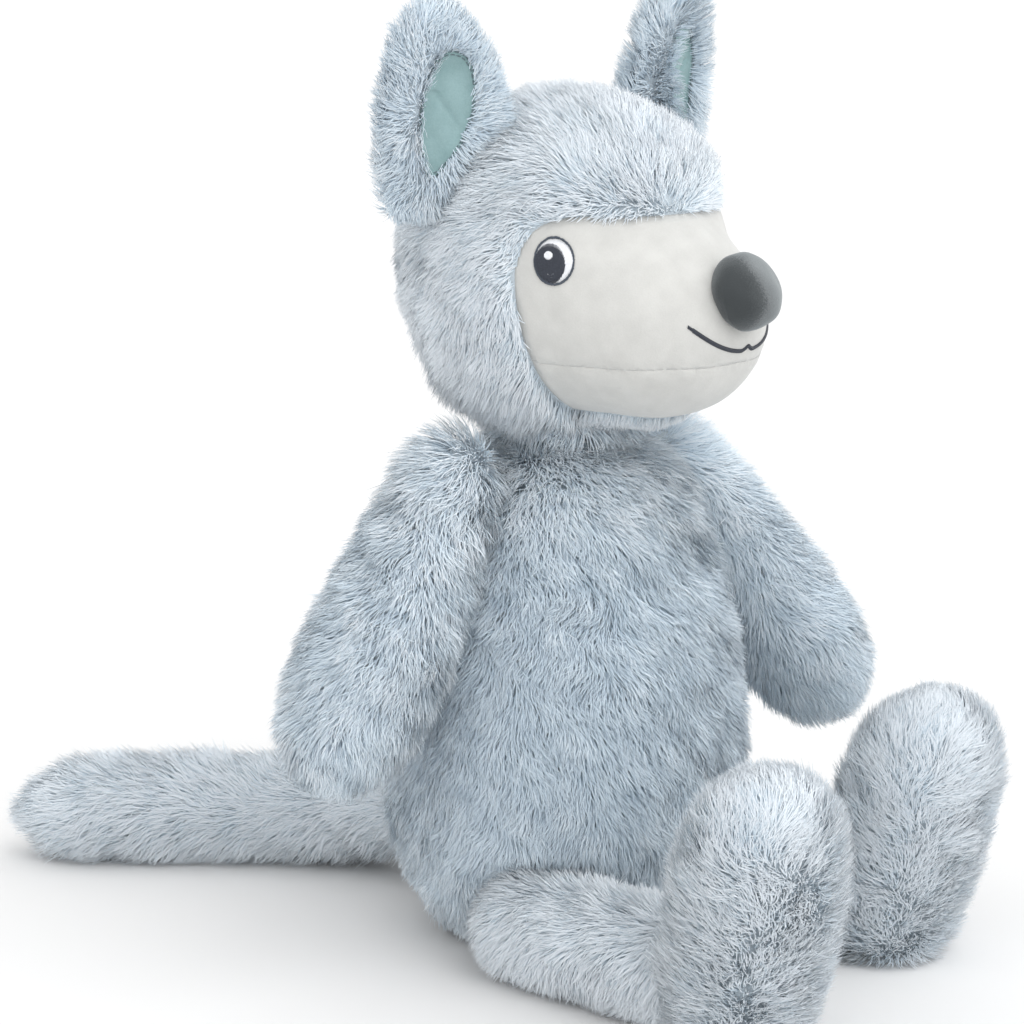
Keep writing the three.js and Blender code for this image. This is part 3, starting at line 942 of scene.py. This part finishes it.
def head_comb(points):
    """Back and outwards over the skull, down the cheeks, and over the edge of the face."""
    p = (points - HEAD_MIDDLE) / HEAD_HALF
    top = np.clip((p[:, 2:] + 0.1) / 0.6, 0, 1)
    front = np.clip((-p[:, 1:2] - 0.1) / 0.5, 0, 1)
    rear = np.clip(p[:, 1:2] / 0.7, 0, 1)
    outwards = np.clip(p[:, :1] * 1.3, -1, 1)
    crown = np.concatenate([outwards * (0.6 - 0.1 * front), 0.7 - 0.1 * front - 0.5 * rear,
                            -0.3 + 0.45 * front - 0.7 * rear], 1)
    cheek = np.concatenate([0 * outwards, 0.3 + 0 * top, -1 + 0 * top], 1)
    near_face = np.exp(-np.maximum(outside_face(points), 0) / (7 * MM))[:, None] * (1 - top)
    away = np.concatenate([0 * outwards, 0.2 + 0 * top, 0 * top], 1)
    return crown * top + cheek * (1 - top) + away * near_face


def face_trim(points):
    """The pile is short where it meets the face, and long under the cheeks."""
    low = np.clip((HEAD_MIDDLE[2] - 18 * MM - points[:, 2]) / (14 * MM), 0, 1)
    throat = low * np.clip((-points[:, 1] - 18 * MM) / (10 * MM), 0, 1)
    near = np.clip(outside_face(points) / (9 * MM), 0, 1)
    high = np.clip((points[:, 2] - brow + 2 * MM) / (14 * MM), 0, 1)
    temple = high * np.clip((np.abs(points[:, 0]) - 18 * MM) / (12 * MM), 0, 1)
    beside_face = np.exp(-(np.maximum(outside_face(points), 0) / (14 * MM)) ** 2)
    return ((0.5 + 0.5 * near + 0.35 * low) * (1 - 0.6 * throat)
            + (0.35 * high + 0.2 * temple) * beside_face)


def head_lay(points):
    """Flat over the skull, and hanging free under the cheeks."""
    return LAY - 30 * np.clip((HEAD_MIDDLE[2] - 16 * MM - points[:, 2]) / (16 * MM), 0, 1)


on_right = head.centres[:, 0] < 0
for side, keep in (("right", ~on_face & on_right), ("left", ~on_face & ~on_right)):
    furred(f"head_{side}", head, keep, f"head_{side}_cover", "head", head_comb,
           trim=face_trim, lay=head_lay, tone=6.2)

# ---------------------------------------------------------------- nose

nose_low, nose_high = box_of("nose")
NOSE_HALF = np.array([nose_high[0], 0.826 * nose_high[0], (nose_high[2] - nose_low[2]) / 2])
NOSE_MIDDLE = np.array([0, nose_low[1] + NOSE_HALF[1], (nose_high[2] + nose_low[2]) / 2])
ways, nose_quads = ball_of_quads(40)
forward = -ways[:, 1:2]
slim = 1 - 0.24 * np.clip(forward, 0, 1) - 0.05 * ways[:, 2:]
egg = NOSE_MIDDLE + ways * NOSE_HALF * np.concatenate([slim, 1.08 + 0 * slim, 0.95 * slim], 1)
egg[:, 2:] -= 2.4 * MM * forward - 0.4 * MM
nose = Form(egg, nose_quads).moved(0)
nose = nose.moved(0.2 * MM * Waves(9 * MM, 31)(nose.points))
piece("nose_pad", nose.mesh("nose_pad"), "head", [nose_velvet],
      replaces=["nose"])

# ---------------------------------------------------------------- embroidery


class Threads:
    """Raised stitches gathered into one mesh, each a run of points with a round back."""

    def __init__(self):
        self.points, self.faces, self.slots, self.count = [], [], [], 0

    def stitch(self, path, normals, width, height, number=0):
        path, normals = np.asarray(path), np.asarray(normals)
        along = unit(np.gradient(path, axis=0))
        across = unit(np.cross(along, normals))
        n = len(path)
        taper = np.ones((n, 1))
        taper[[0, -1]] = 0.55
        half = across * width / 2 * taper
        rows = np.stack([path - half, path - half * 0.55 + normals * height * 0.8 * taper,
                         path + half * 0.55 + normals * height * 0.8 * taper, path + half], 1)
        rows[0] -= normals[0] * 0.12 * MM
        rows[-1] -= normals[-1] * 0.12 * MM
        self.points.append(rows.reshape(-1, 3))
        index = np.arange(n * 4).reshape(n, 4) + self.count
        for k in range(3):
            self.faces.append(np.stack([index[:-1, k], index[:-1, k + 1], index[1:, k + 1],
                                        index[1:, k]], 1))
            self.slots.append(np.full(n - 1, number))
        self.count += n * 4

    def mesh(self, name):
        faces = np.concatenate(self.faces)
        return mesh_from(name, np.concatenate(self.points), [(faces, np.concatenate(self.slots))])


SATIN_STEPS = 7


def on_head(points, inwards):
    """Points dropped onto the head, with the surface's normals there."""
    places, normals = [], []
    for p in points:
        hit, normal, _, _ = head_tree.ray_cast(Vector(p - inwards * 0.02), Vector(inwards))
        places.append(hit if hit is not None else Vector(p))
        normals.append(normal if hit is not None else Vector(-inwards))
    return np.array(places), np.array(normals)


def satin(threads, to_space, inwards, region, lift, number, spacing=0.3 * MM, slant=0.0):
    """Parallel stitches over an oval region: its middle, half sizes and direction of stitch."""
    (mu, mv), (hu, hv) = region
    turn = np.array([[math.cos(slant), -math.sin(slant)], [math.sin(slant), math.cos(slant)]])
    rows = int(2 * hu / spacing)
    for k in range(rows):
        s = -1 + (2 * k + 1) / rows
        reach = math.sqrt(1 - s * s) * (1 + random.normal(0, 0.012))
        t = np.linspace(-reach, reach, SATIN_STEPS)
        flat = np.stack([np.full(SATIN_STEPS, s), t], 1) @ turn.T * (hu, hv) + (mu, mv)
        places, normals = on_head(to_space(flat), inwards)
        crown = lift + 0.14 * MM * np.sqrt(np.clip(1 - (t / max(reach, 1e-6)) ** 2, 0, 1))
        threads.stitch(places + normals * crown[:, None], -inwards + 0 * normals,
                       spacing * 1.25, 0.17 * MM, number)


EYE_SHARE = 0.93  # of the white over the whole eye, inside its rim
RIM_STITCHES = 120

for side, sign in SIDES:
    low, high = box_of(f"eye_{side}")
    middle = (low + high) / 2
    outward = unit(middle - HEAD_MIDDLE)
    level = unit(np.cross([0, 0, 1.0], outward)) * sign
    upward = np.cross(outward, level * sign)
    tall = 0.5 * (high[2] - low[2]) * 1.12
    wide = tall * 0.84

    def to_space(flat, middle=middle, level=level, upward=upward):
        return middle + flat[:, :1] * level + flat[:, 1:] * upward

    threads = Threads()
    satin(threads, to_space, -outward, ((0, 0), (wide * EYE_SHARE, tall * EYE_SHARE)), 0.1 * MM, 1)
    satin(threads, to_space, -outward, ((0.2 * wide, -0.12 * tall), (0.74 * wide, 0.83 * tall)),
          0.38 * MM, 0, slant=0.25)
    satin(threads, to_space, -outward, ((0.27 * wide, 0.22 * tall), (0.2 * wide, 0.18 * tall)),
          0.7 * MM, 1, spacing=0.26 * MM)
    for k in range(6):
        bow = (k - 2.5) / 2.5
        start = np.array([(0.14 + 0.14 * bow) * wide, (-0.66 + 0.05 * bow * bow) * tall])
        flat = np.stack([start, start + [0.02 * wide, 0.1 * tall]])
        places, normals = on_head(to_space(flat), -outward)
        threads.stitch(places + normals * 0.66 * MM, normals, 0.2 * MM, 0.12 * MM, 1)
    for k in range(RIM_STITCHES):
        a = 2 * math.pi * k / RIM_STITCHES + random.normal(0, 0.006)
        edge_out = 1 + random.normal(0, 0.008)
        ring = np.linspace(0.9 + random.normal(0, 0.01), edge_out, 4)[:, None]
        lean = np.linspace(-0.05, 0.05, 4)[:, None]
        flat = ring * np.concatenate([np.cos(a + lean), np.sin(a + lean)], 1) * (wide, tall)
        places, normals = on_head(to_space(flat), -outward)
        threads.stitch(places + normals * 0.36 * MM, normals, 0.36 * MM, 0.2 * MM, 2)
    piece(f"eye_{side}_stitches", threads.mesh("eye"), "head",
          [dark_thread, white_thread, slate_thread], replaces=[f"eye_{side}"])

mouth_low, mouth_high = box_of("mouth_stitching")
MOUTH_MIDDLE = 4.5 * MM  # the smile is sewn a little to one side
MOUTH_REACH = 22.5 * MM


def smile_height(x):
    """Two shallow arcs that meet in a small peak under the nose."""
    share = np.abs(x - MOUTH_MIDDLE) / MOUTH_REACH
    rise = mouth_high[2] - mouth_low[2]
    return (mouth_low[2] - 0.6 * MM + rise * (share**2.2) * 0.95
            + 1.2 * MM * np.exp(-(((x - MOUTH_MIDDLE) / (1.6 * MM)) ** 2)))


threads = Threads()
path_x = MOUTH_MIDDLE + np.linspace(-MOUTH_REACH, MOUTH_REACH, 400)
path = np.stack([path_x, np.full(400, MUZZLE_MIDDLE[1]), smile_height(path_x)], 1)
inwards = np.array([0, 1.0, 0])
lengths = np.concatenate([[0], np.cumsum(np.linalg.norm(np.diff(path, axis=0), axis=1))])


def at_length(s):
    return np.array([np.interp(s, lengths, path[:, i]) for i in range(3)])


stitch_count = int(lengths[-1] * 1.35 / (0.42 * MM))
for k in range(stitch_count):
    s = lengths[-1] * (k + 0.5) / stitch_count
    middle, ahead = at_length(s), at_length(s + 0.5 * MM) - at_length(s - 0.5 * MM)
    run = unit(ahead)
    across = np.array([-run[2], 0, run[0]])
    size = 0.6 * MM * (1 if 1.5 * MM < s < lengths[-1] - 1.5 * MM else 0.75)
    ends = [middle - across * size + run * size * 0.5, middle,
            middle + across * size - run * size * 0.5]
    start = np.array(ends) - np.array([0, 0.08, 0])
    places, normals = [], []
    for p in start:
        hit, normal, _, _ = head_tree.ray_cast(Vector(p), Vector((0, 1, 0)))
        places.append(hit)
        normals.append(normal)
    places, normals = np.array(places), np.array(normals)
    threads.stitch(places + normals * np.array([[0.1], [0.4], [0.1]]) * MM, normals, 0.5 * MM,
                   0.3 * MM, 0)
piece("mouth_stitches", threads.mesh("mouth"), "head", [dark_thread],
      replaces=["mouth_stitching"])

# ---------------------------------------------------------------- ears

EAR_BRUSHED = {"right": 1.0, "left": 1.3}  # the left ear's pile is brushed up
LINING_HEIGHT = 0.7 * MM
LINING_RINGS = 26
LINING_STEPS = 72

def hull_of(flat):
    """The convex outline of flat points, anticlockwise."""
    order = flat[np.lexsort((flat[:, 1], flat[:, 0]))]

    def half(points):
        chain = []
        for p in points:
            while len(chain) > 1 and (np.cross(chain[-1] - chain[-2], p - chain[-2]) <= 0):
                chain.pop()
            chain.append(p)
        return chain[:-1]
    return np.array(half(order) + half(order[::-1]))


for side, sign in SIDES:
    body = f"ear_{side}"
    nodes = [f"ear_{side}_back", f"ear_{side}_front", f"ear_{side}_lining"]
    form = stuffed_form(nodes, voxel=1.7 * MM, shrink=0.4 * MM, swell=1.4 * MM, smoothing=6)
    lining = cad_points(nodes[2])
    centre = lining.mean(0)
    axes = np.linalg.svd(lining - centre, full_matrices=False)[2]
    upright, facing = axes[0] * np.sign(axes[0][2]), axes[2] * -np.sign(axes[2][1])
    level = unit(np.cross(upright, facing))
    which = nearest_cover(form, nodes)

    def front_comb(points, centre=centre, upright=upright):
        return unit(points - centre) + 0.15 * upright

    def back_comb(points, centre=centre, upright=upright):
        return upright + 0.5 * unit(points - centre)

    brushed = EAR_BRUSHED[side]
    furred(f"ear_{side}_rear", form, which == 0, nodes[0], body, back_comb, fill=0.5,
           length=6.5 * MM * brushed, lay=66 / brushed)
    furred(f"ear_{side}_rim", form, which > 0, nodes[1], body, front_comb, fill=0.5,
           pile_keep=which == 1, length=6 * MM * brushed, lay=62 / brushed)

    flat = (lining - centre) @ np.stack([level, upright], 1)
    outline = hull_of(flat)
    angles = np.arange(LINING_STEPS) * 2 * np.pi / LINING_STEPS
    closed = np.roll(outline, -1, axis=0) - outline
    reach = np.zeros(LINING_STEPS)
    for i, a in enumerate(angles):
        d = np.array([math.cos(a), math.sin(a)])
        bottom = d[0] * closed[:, 1] - d[1] * closed[:, 0]
        bottom = np.where(np.abs(bottom) < 1e-12, 1e-12, bottom)
        t = (outline[:, 0] * closed[:, 1] - outline[:, 1] * closed[:, 0]) / bottom
        u = (outline[:, 0] * d[1] - outline[:, 1] * d[0]) / bottom
        reach[i] = t[(u >= -1e-6) & (u <= 1 + 1e-6) & (t > 0)].max()
    reach = (np.roll(reach, 1) + 2 * reach + np.roll(reach, -1)) / 4
    form_tree = BVHTree.FromPolygons([Vector(p) for p in form.points], form.quads.tolist())

    def on_ear(flat, lift, centre=centre, level=level, upright=upright, facing=facing,
               tree=form_tree):
        base = centre + flat[:, :1] * level + flat[:, 1:] * upright
        places = []
        for p in base:
            hit = tree.ray_cast(Vector(p + facing * 0.03), Vector(-facing))[0]
            places.append(hit if hit is not None else Vector(p))
        return np.array(places) + np.reshape(lift, (-1, 1)) * facing

    flat = [np.zeros((1, 2))]
    lifts = [np.array([LINING_HEIGHT])]
    for r in np.linspace(0, 1, LINING_RINGS + 1)[1:]:
        ring = np.stack([np.cos(angles), np.sin(angles)], 1) * (reach * r)[:, None]
        flat.append(ring)
        lifts.append(np.full(LINING_STEPS, LINING_HEIGHT if r < 0.97 else 0.2 * MM))
    flat = np.concatenate(flat)
    lifts = np.concatenate(lifts)
    slope = flat @ unit(np.array([-sign * 0.9, 1.0]))
    crease = np.exp(-((slope / (1.1 * MM)) ** 2)) * (flat[:, 1] < 4 * MM)
    lifts = lifts - 0.55 * MM * crease + 0.12 * MM * Waves(7 * MM, 41)(
        np.concatenate([flat, 0 * flat[:, :1]], 1))
    points = on_ear(flat, lifts)
    index = 1 + np.arange(LINING_RINGS * LINING_STEPS).reshape(LINING_RINGS, LINING_STEPS)
    nxt = np.roll(index, -1, axis=1)
    fans = np.stack([np.zeros(LINING_STEPS, int), index[0], nxt[0]], 1)
    bands = np.stack([index[:-1], index[1:], nxt[1:], nxt[:-1]], -1).reshape(-1, 4)
    piece(f"ear_{side}_velour", mesh_from("lining", points, [(fans, 0), (bands, 0)]), body,
          [ear_velour], replaces=[nodes[2]])

    threads = Threads()
    for inset in (0.93, 0.985):
        ring = np.stack([np.cos(angles), np.sin(angles)], 1) * (reach * inset)[:, None]
        loop = np.concatenate([ring, ring[:1]])
        run = np.concatenate([[0], np.cumsum(np.linalg.norm(np.diff(loop, axis=0), axis=1))])
        number = int(run[-1] / (1.9 * MM))
        for k in range(number):
            s = run[-1] * (k + np.linspace(0.08, 0.88, 5)) / number
            flat_run = np.stack([np.interp(s, run, loop[:, 0]), np.interp(s, run, loop[:, 1])], 1)
            places = on_ear(flat_run, np.full(5, 0.75 * MM))
            threads.stitch(places, facing + 0 * places, 0.42 * MM, 0.25 * MM, 0)
    piece(f"ear_{side}_stitches", threads.mesh("ear_stitches"), body, [grey_thread])

# ---------------------------------------------------------------- floor

floor_mesh = mesh_from("floor", [(-12, -12, 0), (12, -12, 0), (12, 12, 0), (-12, 12, 0)],
                       [(np.array([[0, 1, 2, 3]]), 0)], smooth=False)
floor = bpy.data.objects.new("floor", floor_mesh)
paper = Shader("floor_paper", roughness=0.9, specular=0.1)
paper.surface.inputs["Base Color"].default_value = (0.8, 0.8, 0.8, 1)
floor_mesh.materials.append(paper.material)
scene.collection.objects.link(floor)
